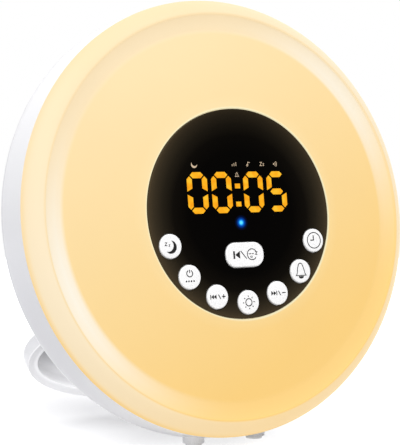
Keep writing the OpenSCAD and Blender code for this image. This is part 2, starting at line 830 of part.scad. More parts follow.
module back_shell() color(shell_white) {
    difference() {
        union() {
            disc_frame() {
                shell_bowl();
                intersection() {
                    shell_envelope();
                    union() {
                        for (p = case_posts) rod(p, -back_depth, boss_top, boss_r);
                        for (p = tray_posts) rod(p, -back_depth, reflector_back, tray_post_r);
                        for (p = board_posts) rod(p, -back_depth, board_back, board_post_r);
                        for (p = ears) rod(p, back_inner - join, frame_back, ear_r);
                        for (a = case_angles) rotate(a) case_rib();
                        rod(cover_ear_at, -back_depth, board_back - holder_h - 0.3, cover_ear_r);
                        rod(cell_at, -back_depth, back_inner + 0.8, cover_r + 1.2);
                    }
                }
                for (side = [-1, 1]) lug(side);
            }
            for (side = [-1, 1])
                row_frame() translate([side * foot_x, foot_y, wall_low])
                    cylinder(r = foot_boss_r, h = foot_boss_h);
        }
        disc_frame() {
            for (p = case_posts) {
                rod(p, screw_seat - through, boss_top + through, clear_r);
                rod(p, -back_depth, screw_seat, recess_r);
            }
            for (p = tray_posts) rod(p, reflector_back - tray_screw - 2, reflector_back + through, pilot_r);
            for (p = board_posts) rod(p, board_back - board_screw - 2, board_back + through, pilot_r);
            for (p = ears) rod(p, back_inner - 0.8, frame_back + through, small_screw_r + touch);
            rod(speaker_at, -back_depth - through, back_inner + through, grille_r + touch);
            rod(socket_at, -back_depth - through, back_inner + through, socket_nose_r + 0.2);
            rod(cell_at, -back_depth - through, back_inner + 2, cover_r - ledge_w);
            rod(cell_at, -back_depth - through, -back_depth + cover_sink + cover_t + touch, cover_r + cover_gap);
            rod(cover_ear_at, -back_depth - through, -back_depth + cover_sink + cover_t + touch,
                cover_ear_r + cover_gap);
            rod(cover_ear_at, -back_depth, board_back - holder_h - 0.8, small_screw_r + touch);
            hinge_bore(pin_r + pin_gap / 2, lug_in + lug_w + through);
        }
        for (side = [-1, 1])
            row_frame() translate([side * foot_x, foot_y, wall_low - through])
                cylinder(r = foot_r + touch, h = foot_sink + touch + through);
    }
}

// ---------------------------------------------------------------- hinge and stand

// One of the two lugs that carry the hinge pin
module lug(side) {
    x = side > 0 ? lug_in : -lug_in - lug_w;
    translate([x, -hinge_drop, -hinge_back]) rotate([0, 90, 0]) cylinder(r = lug_r, h = lug_w);
    translate([x, -hinge_drop - lug_r, -hinge_back]) cube([lug_w, 2 * lug_r, hinge_back - back_depth + join]);
}

module hinge_bore(r, half) {
    translate([-half, -hinge_drop, -hinge_back]) rotate([0, 90, 0]) cylinder(r = r, h = 2 * half);
}

module stand_pin() color(steel) disc_frame() {
    hinge_bore(pin_r, knuckle_half + 1);
}

function oval(inset, level) = [for (i = [0:oval_sides - 1]) let (a = 360 * i / oval_sides)
    [(stand_w / 2 - inset) * cos(a), oval_mid + (stand_len / 2 - inset) * sin(a), level]];

// A dish form: straight walls at the front, a rounded edge at the back.
// It is lofted through ovals, each one given by its inset and its level.
module dish(inset, front, back, edge) {
    rings = concat([[inset, front]],
        [for (a = [0, 30, 60, 90]) [inset + edge * (1 - cos(a)), back - edge + edge * sin(a)]]);
    n = oval_sides;
    last = n * (len(rings) - 1);
    polyhedron(
        points = [for (ring = rings) each oval(ring[0], ring[1])],
        faces = concat(
            [[for (i = [0:n - 1]) i]],
            [for (k = [0:len(rings) - 2], i = [0:n - 1]) let (j = (i + 1) % n)
                [k * n + i, (k + 1) * n + i, (k + 1) * n + j, k * n + j]],
            [[for (i = [n - 1:-1:0]) last + i]]
        )
    );
}

// The barrel that turns on the hinge pin
module knuckles() {
    half = knuckle_half + knuckle_over;
    translate([-half, 0, 0]) rotate([0, 90, 0]) cylinder(r = knuckle_r, h = 2 * half);
}

// The heel: a short block under the oval that widens up into it
module heel() {
    top = oval_low[2] + heel_grip;
    hull() {
        round_slab(heel_at, [heel_w, heel_len], heel_corner, floor_z + pad_t, floor_z + pad_t + pad_grip, $fn = 32);
        round_slab(heel_at, [heel_w + heel_flare, heel_len], heel_corner, top - join, top, $fn = 32);
    }
}

module stand_foot() color(shell_white) {
    difference() {
        union() {
            foot_frame() {
                dish(0, -rim_offset, stand_depth - rim_offset, dish_edge);
                knuckles();
            }
            row_frame() heel();
        }
        foot_frame() {
            difference() {
                dish(stand_rim, -rim_offset - through, stand_depth - rim_offset - stand_web, dish_edge - 0.5);
                knuckles();
            }
            for (side = [-1, 1])
                translate([side > 0 ? lug_in - lug_gap : -lug_in - lug_w - lug_gap, -20, -20])
                    cube([lug_w + 2 * lug_gap, 20 + lug_r + 1, 40]);
            translate([-stand_w / 2, 0, 0]) rotate([0, 90, 0]) cylinder(r = pin_r + pin_gap, h = stand_w);
        }
        row_frame() round_slab(heel_at, [heel_w, heel_len] - 2 * pad_inset * [1, 1], heel_corner - pad_inset,
            floor_z + pad_t - through, floor_z + pad_t + pad_grip);
    }
}

module heel_pad() color(rubber_grey) row_frame() {
    inset = pad_inset + touch;
    round_slab(heel_at, [heel_w, heel_len], heel_corner, floor_z, floor_z + pad_t);
    round_slab(heel_at, [heel_w, heel_len] - 2 * inset * [1, 1], heel_corner - inset,
        floor_z + pad_t - join, floor_z + pad_t + pad_grip - touch);
}

// ---------------------------------------------------------------- feet and housing screws

module front_feet() color(rubber_grey) row_frame() {
    for (side = [-1, 1])
        translate([side * foot_x, foot_y, floor_z]) cylinder(r = foot_r, h = foot_h + foot_sink);
}

module housing_screws() color(steel) disc_frame() {
    for (p = case_posts) screw(p, screw_seat, -1);
}

// ---------------------------------------------------------------- assembly

front_diffuser();
face_panel();
control_housing();
for (i = [0:6]) {
    round_key(i);
    plunger(key_at(i));
}
snooze_key();
plunger(snooze_at);  // snooze_plunger
key_switches();
key_board();
key_board_screws();
key_cable();
display_case();
lit_segments();
status_light();
light_reflector();
lamp_board();
lamp_chips();
reflector_screws();
control_screws();
main_board();
board_parts();
board_screws();
power_socket();
speaker_grille();
speaker_gasket();
speaker_frame();
speaker_cone();
speaker_magnet();
speaker_screws();
cell_holder();
coin_cell();
cell_cover();
cell_cover_screw();
back_shell();
housing_screws();
front_feet();
stand_foot();
stand_pin();
heel_pad();
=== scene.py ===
import json
import math

import bmesh
import bpy
from mathutils import Matrix, Vector


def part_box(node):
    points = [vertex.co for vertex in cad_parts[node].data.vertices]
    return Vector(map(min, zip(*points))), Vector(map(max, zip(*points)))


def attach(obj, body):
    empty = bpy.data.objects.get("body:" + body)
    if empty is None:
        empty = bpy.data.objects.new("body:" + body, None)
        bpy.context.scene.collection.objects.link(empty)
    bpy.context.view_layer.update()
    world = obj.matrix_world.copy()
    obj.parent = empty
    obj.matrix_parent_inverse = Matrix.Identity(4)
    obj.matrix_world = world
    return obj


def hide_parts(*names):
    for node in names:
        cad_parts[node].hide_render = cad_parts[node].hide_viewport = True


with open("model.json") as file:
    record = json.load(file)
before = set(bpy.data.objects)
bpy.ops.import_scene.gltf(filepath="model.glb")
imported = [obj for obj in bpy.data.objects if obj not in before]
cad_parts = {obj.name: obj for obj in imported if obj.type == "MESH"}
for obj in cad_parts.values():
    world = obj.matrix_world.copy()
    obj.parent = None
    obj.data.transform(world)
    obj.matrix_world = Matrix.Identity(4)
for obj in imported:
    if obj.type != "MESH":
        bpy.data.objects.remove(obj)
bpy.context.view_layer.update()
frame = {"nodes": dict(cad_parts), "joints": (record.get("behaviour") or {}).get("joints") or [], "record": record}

# ---------------------------------------------------------------- studio
# The clock stands on a pale table top in front of nothing: a surround that mirrors
# and the eye see as white, three broad soft lights, and a camera a little above the
# clock's middle, to the left of its face.

scene = bpy.context.scene
camera_at = Vector((-0.286024, -0.495366, 0.117148))
camera_aim = Vector((0.505422, 0.861091, -0.055419))
lights_aim_at = Vector((0, 0, 0.08))
white = (1, 1, 1, 1)


def in_scene(name, data):
    """A new object of the scene."""
    made = bpy.data.objects.new(name, data)
    scene.collection.objects.link(made)
    return made


def facing(place, aim):
    """The place of a camera or a lamp that looks along its aim."""
    return Matrix.Translation(place) @ aim.to_track_quat("-Z", "Y").to_matrix().to_4x4()


def srgb(red, green, blue):
    """A colour written as 0 to 255 on a screen, as the linear colour that a shader takes."""
    parts = [c / 255 for c in (red, green, blue)]
    return tuple(c / 12.92 if c <= 0.04045 else ((c + 0.055) / 1.055) ** 2.4 for c in parts) + (1.0,)


class Wiring:
    """The nodes of one tree, emptied at first, with short words for adding and joining them."""

    def __init__(self, tree):
        self.nodes, self.links = tree.nodes, tree.links
        self.nodes.clear()

    def feed(self, socket, value):
        """Join an input to the output of another node, or set it to a value."""
        if isinstance(value, bpy.types.NodeSocket):
            self.links.new(value, socket)
        else:
            socket.default_value = value

    def node(self, kind, *values, operation=None, group=None, **named):
        """A node with its inputs fed in their order, or by their names, with _ for a space."""
        made = self.nodes.new(kind)
        if operation:
            made.operation = operation
        if group:
            made.node_tree = group
        for socket, value in zip(made.inputs, values):
            self.feed(socket, value)
        for name, value in named.items():
            self.feed(made.inputs[name.replace("_", " ")], value)
        return made

    def calc(self, operation, *values, clamp=False):
        made = self.node("ShaderNodeMath", *values, operation=operation)
        made.use_clamp = clamp
        return made.outputs[0]

    def vector(self, operation, *values):
        made = self.node("ShaderNodeVectorMath", *values, operation=operation)
        return made.outputs["Value" if operation in ("LENGTH", "DOT_PRODUCT") else "Vector"]

    def share(self, value, start, end, at_start=0.0, at_end=1.0):
        """Runs evenly from the start to the end of a value, and is held beyond both."""
        return self.node("ShaderNodeMapRange", value, start, end, at_start, at_end).outputs[0]

    def object_place(self):
        return self.node("ShaderNodeTexCoord").outputs["Object"]


def seen_ray(wiring):
    """A mask of the rays that see the surround itself: camera, mirror and glass rays."""
    rays = wiring.node("ShaderNodeLightPath").outputs
    either = wiring.calc("MAXIMUM", rays["Is Camera Ray"], rays["Is Glossy Ray"])
    return wiring.calc("MAXIMUM", either, rays["Is Transmission Ray"])


def make_camera():
    data = bpy.data.cameras.new("camera")
    data.lens = 113.2
    data.sensor_width = 36
    data.clip_start = 0.01
    camera = in_scene("camera", data)
    camera.matrix_world = facing(camera_at, camera_aim)
    scene.camera = camera


def make_surround():
    world = bpy.data.worlds.new("surround")
    world.use_nodes = True
    wiring = Wiring(world.node_tree)
    lighting = wiring.node("ShaderNodeBackground", Color=srgb(250, 250, 255), Strength=0.38)
    seen = wiring.node("ShaderNodeBackground", Color=white, Strength=1.0)
    mix = wiring.node("ShaderNodeMixShader", seen_ray(wiring), lighting.outputs[0], seen.outputs[0])
    wiring.node("ShaderNodeOutputWorld", Surface=mix.outputs[0])
    scene.world = world


def make_table_top():
    """A round matt top that is seen as white but for the shade behind and under the clock."""
    radius, edge_steps = 0.9, 96
    turns = [2 * math.pi * k / edge_steps for k in range(edge_steps)]
    round_edge = [(radius * math.cos(a), radius * math.sin(a), 0) for a in turns]
    mesh = bpy.data.meshes.new("table_top")
    mesh.from_pydata(round_edge, [], [list(range(edge_steps))])
    table = in_scene("table_top", mesh)
    paint = bpy.data.materials.new("table_top_white")
    paint.use_nodes = True
    wiring = Wiring(paint.node_tree)
    # The shade is an oval about its middle, darkest in its core and gone at its edge
    shade_middle, shade_stretch = (-0.01, 0.046, 0), (1.2, 0.6, 1)
    shade_core, shade_edge, core_lightness = 0.012, 0.082, 0.42
    from_shade = wiring.vector("SUBTRACT", wiring.object_place(), shade_middle)
    away = wiring.vector("LENGTH", wiring.vector("MULTIPLY", from_shade, shade_stretch))
    lightness = wiring.share(away, shade_core, shade_edge, core_lightness, 1.0)
    matt = wiring.node("ShaderNodeBsdfDiffuse", Color=srgb(196, 196, 198))
    seen_lightness = wiring.calc("MULTIPLY", lightness, seen_ray(wiring))
    lift = wiring.node("ShaderNodeEmission", Strength=seen_lightness)
    both = wiring.node("ShaderNodeAddShader", matt.outputs[0], lift.outputs[0])
    wiring.node("ShaderNodeOutputMaterial", Surface=both.outputs[0])
    mesh.materials.append(paint)


def make_soft_light(name, at, size, watts):
    data = bpy.data.lights.new(name, "AREA")
    data.shape = "DISK"
    data.size = size
    data.energy = watts
    in_scene(name, data).matrix_world = facing(at, lights_aim_at - Vector(at))


scene.view_settings.view_transform = "Standard"
make_camera()
make_surround()
make_table_top()
make_soft_light("upper_left_softbox", (-1.1, -0.3, 1.6), 1.1, 15)
make_soft_light("front_softbox", (0.3, -0.75, 1.3), 0.9, 9.5)
make_soft_light("left_fill", (-1.15, -1.0, 0.28), 0.9, 4.5)

# ---------------------------------------------------------------- front diffuser
# The glowing face: one milky plastic moulding, turned about the axis of the case.
# Its rim rolls over from the seam to a crest with a fine step, dips into a shallow
# valley and rises into the dome, which ends at the round opening for the panel.

MM = 0.001

# The disc's own directions, out of the face and up it, and the middle of its seam, which
# is found from the lamp board behind it
lean_out = -Vector(next(j["axis"] for j in frame["joints"] if j["name"] == "light_press"))
lean_up = Vector((0, lean_out.z, -lean_out.y))
ring_board_low, ring_board_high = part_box("lamp_board")
ring_board_level = -9.7 * MM
face_centre = (ring_board_low + ring_board_high) / 2 - ring_board_level * lean_out
# From a place on the disc in millimetres, to the right, up and out, to its place in the scene
disc_mm = Matrix((
    (1, 0, 0, 0),
    (0, lean_up.y, lean_out.y, face_centre.y),
    (0, lean_up.z, lean_out.z, face_centre.z),
    (0, 0, 0, 1),
)) @ Matrix.Scale(MM, 4)

seam_r, seam_gap = 86.0, 0.25
crest_r, crest_h = 79.65, 7.3
valley_r, valley_h = 72.8, 5.6
panel_r, panel_h = 40.6, 13.3
panel_gap = 0.3
opening_r = panel_r + panel_gap
diffuser_t = 2.2
skirt_outer_r = 84.05
skirt_inner_r = 82.45
skirt_len = 5.0


def arc(middle, radius_x, radius_y, start, end, steps):
    """Points on an elliptical arc, from one angle to another in degrees."""
    angles = [math.radians(start + (end - start) * k / steps) for k in range(steps + 1)]
    return [(middle[0] + radius_x * math.cos(a), middle[1] + radius_y * math.sin(a)) for a in angles]


def sweep_of(first, control, last, steps):
    """Points on a quadratic curve with one control point."""
    parts = [k / steps for k in range(steps + 1)]
    return [tuple((1 - t) ** 2 * a + 2 * t * (1 - t) * b + t * t * c for a, b, c in zip(first, control, last))
            for t in parts]


class Sums(Wiring):
    """Wiring with plain words for sums, as node groups and materials need them."""

    def plus(self, first, second, clamp=False):
        return self.calc("ADD", first, second, clamp=clamp)

    def minus(self, first, second):
        return self.calc("SUBTRACT", first, second)

    def times(self, first, second):
        return self.calc("MULTIPLY", first, second)

    def over(self, first, second, clamp=False):
        return self.calc("DIVIDE", first, second, clamp=clamp)

    def times_plus(self, first, second, third, clamp=False):
        return self.calc("MULTIPLY_ADD", first, second, third, clamp=clamp)

    def scaled(self, colour, share):
        made = self.node("ShaderNodeVectorMath", colour, operation="SCALE", Scale=share)
        return made.outputs["Vector"]

    def distance(self, first, second):
        """How far a point lies from the middle, from its two places."""
        return self.vector("LENGTH", self.node("ShaderNodeCombineXYZ", first, second).outputs[0])


def new_group(name, kind, inputs, outputs):
    """A node group with named sockets, its wiring, and what its inputs bring."""
    group = bpy.data.node_groups.new(name, kind)
    for way, sockets in (("INPUT", inputs), ("OUTPUT", outputs)):
        for label, socket_kind in sockets.items():
            group.interface.new_socket(label, in_out=way, socket_type="NodeSocket" + socket_kind)
    wiring = Sums(group)
    return group, wiring, wiring.node("NodeGroupInput").outputs


def new_tree(name, **inputs):
    """A group of geometry nodes for a modifier, with its named inputs besides the geometry."""
    sizes = {label.replace("_", " "): kind for label, kind in inputs.items()}
    tree, wiring, given = new_group(name, "GeometryNodeTree", {"Geometry": "Geometry", **sizes},
                                    {"Geometry": "Geometry"})
    tree.is_modifier = True
    return tree, wiring, given


def end_tree(wiring, shape, material):
    """Realize what a tree has made, give it its material and put it out."""
    whole = wiring.node("GeometryNodeRealizeInstances", Geometry=shape)
    coat = wiring.node("GeometryNodeSetMaterial", Geometry=whole.outputs["Geometry"], Material=material)
    wiring.node("NodeGroupOutput", Geometry=coat.outputs["Geometry"])


def turning_tree():
    """Geometry nodes that carry an outline round the axis, x of the outline outwards and y downwards."""
    tree, wiring, given = new_tree("turned_form", Outline="Object", Steps="Int", Path_Radius="Float",
                                   Material="Material")
    outline = wiring.node("GeometryNodeObjectInfo", Object=given["Outline"])
    path = wiring.node("GeometryNodeCurvePrimitiveCircle", Resolution=given["Steps"],
                       Radius=given["Path Radius"])
    skin = wiring.node("GeometryNodeCurveToMesh", Curve=path.outputs["Curve"],
                       Profile_Curve=outline.outputs["Geometry"])
    weld_gap = 0.002
    weld = wiring.node("GeometryNodeMergeByDistance", Geometry=skin.outputs["Mesh"], Distance=weld_gap)
    end_tree(wiring, weld.outputs["Geometry"], given["Material"])
    return tree


def grown(name, tree, values):
    """The plain mesh that a geometry tree makes with its named inputs set."""
    holder = in_scene(name, bpy.data.meshes.new(name))
    modifier = holder.modifiers.new("tree", "NODES")
    modifier.node_group = tree
    for item in tree.interface.items_tree:
        if item.item_type == "SOCKET" and item.in_out == "INPUT" and item.name in values:
            modifier[item.identifier] = values[item.name]
    depsgraph = bpy.context.evaluated_depsgraph_get()
    mesh = bpy.data.meshes.new_from_object(holder.evaluated_get(depsgraph))
    holder.modifiers.clear()
    bpy.data.objects.remove(holder)
    mesh.name = name
    return mesh


def shade_smooth(mesh, crease=32):
    """Shade a mesh smooth, up to a crease angle in degrees."""
    mesh.shade_smooth()
    mesh.set_sharp_from_angle(angle=math.radians(crease))


turned_form = turning_tree()


def turned(name, outline, material, steps, at=(0, 0)):
    """A mesh turned about the axis of the case, or about a line beside it, from an outline in millimetres."""
    path_radius, weld_gap = 50.0, 1e-7
    curve = bpy.data.curves.new(name + "_outline", "CURVE")
    curve.dimensions = "2D"
    spline = curve.splines.new("POLY")
    spline.points.add(len(outline) - 1)
    for point, (radius, level) in zip(spline.points, outline):
        point.co = (radius - path_radius, -level, 0, 1)
    spline.use_cyclic_u = True
    holder = in_scene(name + "_outline", curve)
    mesh = grown(name, turned_form, {"Outline": holder, "Steps": steps, "Path Radius": path_radius,
                                     "Material": material})
    bpy.data.objects.remove(holder)
    bpy.data.curves.remove(curve)
    mesh.transform(disc_mm @ Matrix.Translation((at[0], at[1], 0)))
    shape = bmesh.new()
    shape.from_mesh(mesh)
    bmesh.ops.remove_doubles(shape, verts=shape.verts, dist=weld_gap)
    bmesh.ops.recalc_face_normals(shape, faces=shape.faces)
    shape.to_mesh(mesh)
    shape.free()
    shade_smooth(mesh)
    return mesh


def piece(name, mesh, body, replaced=()):
    """Put a finished mesh on a body of the clock, in place of the nodes that it stands for."""
    made = in_scene(name, mesh)
    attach(made, body)
    if replaced:
        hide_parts(*replaced)


def diffuser_outline():
    """The diffuser's section: over rim, step, valley and dome, and back inside to the skirt."""
    step_w, step_drop, step_chamfer = 0.4, 0.5, 0.1
    rim_bend, rim_steps = 1.35, 30
    valley_sag = 0.1
    dome_steps, dome_inner_steps = 34, 10
    edge_round, edge_drop = 0.35, 0.3
    edge_h = panel_h - edge_drop
    inner_margin = 1
    dome_middle = (valley_r ** 2 - opening_r ** 2 + valley_h ** 2 - edge_h ** 2) / (2 * (valley_h - edge_h))
    dome_radius = math.hypot(valley_r, valley_h - dome_middle)

    def dome(radius):
        return dome_middle + math.sqrt(dome_radius ** 2 - radius ** 2)

    turns = [math.pi / 2 * k / rim_steps for k in range(rim_steps)]
    outer = [(crest_r + (seam_r - crest_r) * math.cos(a) ** rim_bend,
              seam_gap + (crest_h - seam_gap) * math.sin(a) ** rim_bend) for a in turns]
    outer += [(crest_r, crest_h), (crest_r - step_w, crest_h)]
    outer += [(crest_r - step_w - step_chamfer, crest_h - step_chamfer)]
    outer += sweep_of((crest_r - 1.5 * step_w, crest_h - step_drop),
                      ((crest_r + valley_r) / 2, valley_h - valley_sag), (valley_r, valley_h), 14)
    dome_fall = opening_r + edge_round - valley_r
    dome_radii = [valley_r + dome_fall * k / dome_steps for k in range(1, dome_steps + 1)]
    outer += [(radius, dome(radius)) for radius in dome_radii]
    outer += arc((opening_r + edge_round, dome(opening_r) - edge_round), -edge_round, edge_round, 70, 0, 4)
    inner_span = valley_r - inner_margin - opening_r
    inner_radii = [opening_r + inner_span * k / dome_inner_steps for k in range(dome_inner_steps + 1)]
    inner = [(radius, dome(radius) - diffuser_t) for radius in inner_radii]
    rim_inner_r = crest_r - inner_margin
    rim_inner_h = crest_h - diffuser_t - inner_margin
    inner += arc((rim_inner_r, seam_gap), skirt_inner_r - rim_inner_r, rim_inner_h, 90, 0, 8)
    inner += [(skirt_inner_r, -skirt_len), (skirt_outer_r, -skirt_len), (skirt_outer_r, seam_gap)]
    return outer + inner


def moulded_grain_group():
    """The faint texture of moulded plastic: a fine spark-eroded grain and a slow drift in tone and gloss."""
    group, wiring, given = new_group(
        "moulded_grain", "ShaderNodeTree",
        {"Grain Scale": "Float", "Drift Scale": "Float", "Tone Drift": "Float", "Roughness": "Float",
         "Roughness Drift": "Float", "Color": "Color"},
        {"Color": "Color", "Roughness": "Float", "Height": "Float"})
    place = wiring.object_place()
    grain = wiring.node("ShaderNodeTexNoise", Vector=place, Scale=given["Grain Scale"], Detail=2)
    drift = wiring.node("ShaderNodeTexNoise", Vector=place, Scale=given["Drift Scale"], Detail=3)
    centred = wiring.minus(drift.outputs["Fac"], 0.5)
    tone = wiring.times_plus(centred, given["Tone Drift"], 1.0)
    rough = wiring.times_plus(centred, given["Roughness Drift"], given["Roughness"])
    wiring.node("NodeGroupOutput", Color=wiring.scaled(given["Color"], tone), Roughness=rough,
                Height=grain.outputs["Fac"])
    return group


def disc_place_group():
    """Where a point lies on the face: its distance from the axis, and its place to the right, up and out."""
    places = ("Radius", "Right", "Up", "Out")
    group, wiring, _ = new_group("disc_place", "ShaderNodeTree", {}, {name: "Float" for name in places})
    from_centre = wiring.vector("SUBTRACT", wiring.object_place(), face_centre)
    right, up, out = [wiring.over(wiring.vector("DOT_PRODUCT", from_centre, way), MM)
                      for way in (Vector((1, 0, 0)), lean_up, lean_out)]
    wiring.node("NodeGroupOutput", Radius=wiring.distance(right, up), Right=right, Up=up, Out=out)
    return group


moulded_grain = moulded_grain_group()
disc_place = disc_place_group()


class Finish(Sums):
    """A material's wiring, with its Principled shader."""

    def __init__(self, name):
        self.material = bpy.data.materials.new(name)
        self.material.use_nodes = True
        super().__init__(self.material.node_tree)
        self.shader = self.node("ShaderNodeBsdfPrincipled")
        self.node("ShaderNodeOutputMaterial", Surface=self.shader.outputs["BSDF"])

    def surface(self, **named):
        """Feed the shader's own inputs."""
        for name, value in named.items():
            self.feed(self.shader.inputs[name.replace("_", " ")], value)

    def ramp(self, value, *stops):
        """A colour or a share that runs through stops, each a place from 0 to 1 and what it is there."""
        stops = [(at, tone if isinstance(tone, tuple) else (tone, tone, tone, 1)) for at, tone in stops]
        made = self.node("ShaderNodeValToRGB", value)
        ends = made.color_ramp.elements
        ends[0].position, ends[0].color = stops[0]
        ends[1].position, ends[1].color = stops[-1]
        for position, colour in stops[1:-1]:
            ends.new(position).color = colour
        return made.outputs[0]

    def mix(self, share, first, second):
        """A colour mixed from two."""
        made = self.nodes.new("ShaderNodeMix")
        made.data_type = "RGBA"
        # Among the node's sockets for every kind of value, these are the ones for colours
        for index, value in ((0, share), (6, first), (7, second)):
            self.feed(made.inputs[index], value)
        return made.outputs[2]

    def grain(self, colour, scale, drift_scale, drift, roughness, roughness_drift=0.08):
        """The moulded grain laid over a colour."""
        return self.node("ShaderNodeGroup", group=moulded_grain, Color=colour, Grain_Scale=scale,
                         Drift_Scale=drift_scale, Tone_Drift=drift, Roughness=roughness,
                         Roughness_Drift=roughness_drift).outputs

    def disc_place(self):
        return self.node("ShaderNodeGroup", group=disc_place).outputs

    def toward(self, place, angle, power=1.0):
        """How far a point lies in a direction on the face: 1 there, 0 from a right angle on, to a power."""
        way = math.radians(angle)
        along = self.plus(self.times(place["Right"], math.cos(way)), self.times(place["Up"], math.sin(way)))
        return self.calc("POWER", self.over(along, place["Radius"], clamp=True), power)

    def bump(self, height, strength, distance=0.0001):
        made = self.node("ShaderNodeBump", Strength=strength, Distance=distance, Height=height)
        self.surface(Normal=made.outputs["Normal"])


def milky_diffuser_material():
    """Lit milky plastic: cream at the upper left, amber low down, with painted highlights that make it pale in the
    valley, on the rim and round the opening, and painted shade that darkens the step line and deepens the lower
    edge to yellow.
    """
    paint = Finish("milky_diffuser")
    place = paint.disc_place()
    radius = place["Radius"]
    ramp_reach = 90.0
    span = paint.over(radius, ramp_reach)

    def by_radius(*stops):
        return paint.ramp(span, *[(at / ramp_reach, share) for at, share in stops])

    warm_way = math.radians(-62)
    fall = paint.plus(paint.times(place["Right"], math.cos(warm_way) / seam_r),
                      paint.times(place["Up"], math.sin(warm_way) / seam_r))
    glow = paint.ramp(paint.times_plus(fall, 0.5, 0.5, clamp=True), (0.08, srgb(253, 226, 176)),
                      (0.4, srgb(253, 222, 161)), (0.85, srgb(255, 213, 130)))

    # Painted highlight in the valley, strongest at the upper right and the left
    highlight_upper_right = paint.times(paint.toward(place, 40, 6), 0.8)
    highlight_left = paint.times(paint.toward(place, 202, 4.5), 0.92)
    highlight_upper_left = paint.times_plus(paint.toward(place, 120, 2), 0.2, 0.03)
    valley_highlight_side = paint.plus(paint.plus(highlight_upper_right, highlight_left), highlight_upper_left, clamp=True)
    valley = by_radius((71.4, 0), (72.9, 0.85), (75.2, 1), (78.6, 0.85), (79.4, 0.3))
    tone = paint.mix(paint.times(valley, valley_highlight_side), glow, srgb(255, 248, 232))

    # Painted highlight on the rim, strongest at the lower left and the right
    rim_highlight_right = paint.times_plus(paint.toward(place, 10), 0.45, 0.1)
    rim_highlight_side = paint.times_plus(paint.toward(place, 225, 0.8), 0.37, rim_highlight_right)
    rim = by_radius((79.5, 0), (80.1, 1), (84.2, 0.9), (85.9, 0.5))
    tone = paint.mix(paint.times(rim, rim_highlight_side), tone, srgb(254, 244, 222))

    # Painted shade: a darker line along the step, on the lower left
    step_shade_side = paint.times(paint.toward(place, 215, 1.5), 0.12)
    step_shade_line = by_radius((79.1, 0), (79.3, 1), (79.6, 1), (79.8, 0))
    tone = paint.mix(paint.times(step_shade_line, step_shade_side), tone, srgb(206, 182, 112))

    # Painted shade: a deeper yellow on the outer edge by the seam, towards the lower left
    edge_reach = 7.0
    edge_shade_side = paint.times_plus(paint.toward(place, 228, 2.5), 0.75, 0.06)
    edge = paint.ramp(paint.over(place["Out"], edge_reach, clamp=True), (0.0, 1), (0.12, 0.8), (0.42, 0))
    outside = paint.calc("GREATER_THAN", radius, crest_r)
    tone = paint.mix(paint.times(paint.times(edge, edge_shade_side), outside), tone, srgb(253, 206, 104))

    # Painted highlight: a pale line round the opening for the panel
    painted_halo = by_radius((opening_r, 1), (opening_r + 0.25, 0.9), (opening_r + 0.7, 0.12), (46, 0))
    tone = paint.mix(painted_halo, tone, srgb(255, 246, 205))

    own_share = 0.3
    grain = paint.grain(tone, scale=2600, drift_scale=38, drift=0.035, roughness=0.52, roughness_drift=0.06)
    paint.surface(Base_Color=paint.scaled(grain["Color"], own_share), Roughness=grain["Roughness"],
                  Specular_IOR_Level=0.2, Emission_Color=grain["Color"], Emission_Strength=0.7)
    paint.bump(grain["Height"], 0.06)
    return paint.material


diffuser_mesh = turned("diffuser", diffuser_outline(), milky_diffuser_material(), steps=288)
piece("diffuser", diffuser_mesh, "case", ["front_diffuser"])

# ---------------------------------------------------------------- face panel
# A round plate of smoked acrylic in the middle of the face. It is black over the display
# and takes on a warm brown towards its lower edge, painted lamp light creeping in. A
# blue glow of the status light is painted on it too.

black = (0, 0, 0, 1)
status_light_at = (-0.4, -3.7)
status_halo_r = 3.0


def off_status_light(paint, place):
    """How far a point of the face lies from the status light, in millimetres."""
    right = paint.minus(place["Right"], status_light_at[0])
    up = paint.minus(place["Up"], status_light_at[1])
    return paint.distance(right, up)


def panel_black_material():
    paint = Finish("panel_black")
    place = paint.disc_place()
    # Painted lamp light: a warm brown towards the rim, held off the top
    warm = paint.ramp(paint.over(place["Radius"], panel_r), (0.0, srgb(2, 1, 1)), (0.58, srgb(4, 3, 2)),
                      (0.74, srgb(15, 12, 8)), (0.85, srgb(37, 32, 23)), (0.94, srgb(56, 48, 35)),
                      (1.0, srgb(72, 61, 44)))
    from_top = paint.times(paint.toward(place, 88, 2), 0.6)
    tone = paint.mix(from_top, warm, srgb(4, 3, 2))
    grain = paint.grain(tone, scale=900, drift_scale=25, drift=0.2, roughness=0.3)
    # Painted light: a blue glow on the panel round the status light
    off_light = paint.over(off_status_light(paint, place), status_halo_r)
    painted_halo = paint.ramp(off_light, (0.0, srgb(60, 200, 255)), (0.27, srgb(30, 160, 250)),
                      (0.45, srgb(0, 66, 170)), (0.72, srgb(0, 16, 52)), (1.0, black))
    paint.surface(Base_Color=grain["Color"], Roughness=grain["Roughness"], Specular_IOR_Level=0.012,
                  Emission_Color=painted_halo, Emission_Strength=1.0)
    return paint.material


def coated(node_name, material):
    """Give a carried-over piece its finish."""
    coats = frame["nodes"][node_name].data.materials
    coats.clear()
    coats.append(material)


coated("face_panel", panel_black_material())

# ---------------------------------------------------------------- lit digits and status light
# The segments of the time shine through the panel in amber, a little unevenly.
# Below them sits the end of a light guide, lit blue and brightest in its middle.


def amber_light_material():
    paint = Finish("amber_light")
    cells = paint.node("ShaderNodeTexNoise", Vector=paint.object_place(), Scale=420, Detail=1)
    tone = paint.ramp(cells.outputs["Fac"], (0.32, srgb(247, 160, 10)), (0.5, srgb(255, 177, 18)),
                      (0.68, srgb(255, 194, 42)))
    paint.surface(Base_Color=srgb(40, 24, 4), Roughness=0.35, Specular_IOR_Level=0.1,
                  Emission_Color=tone, Emission_Strength=1.0)
    return paint.material


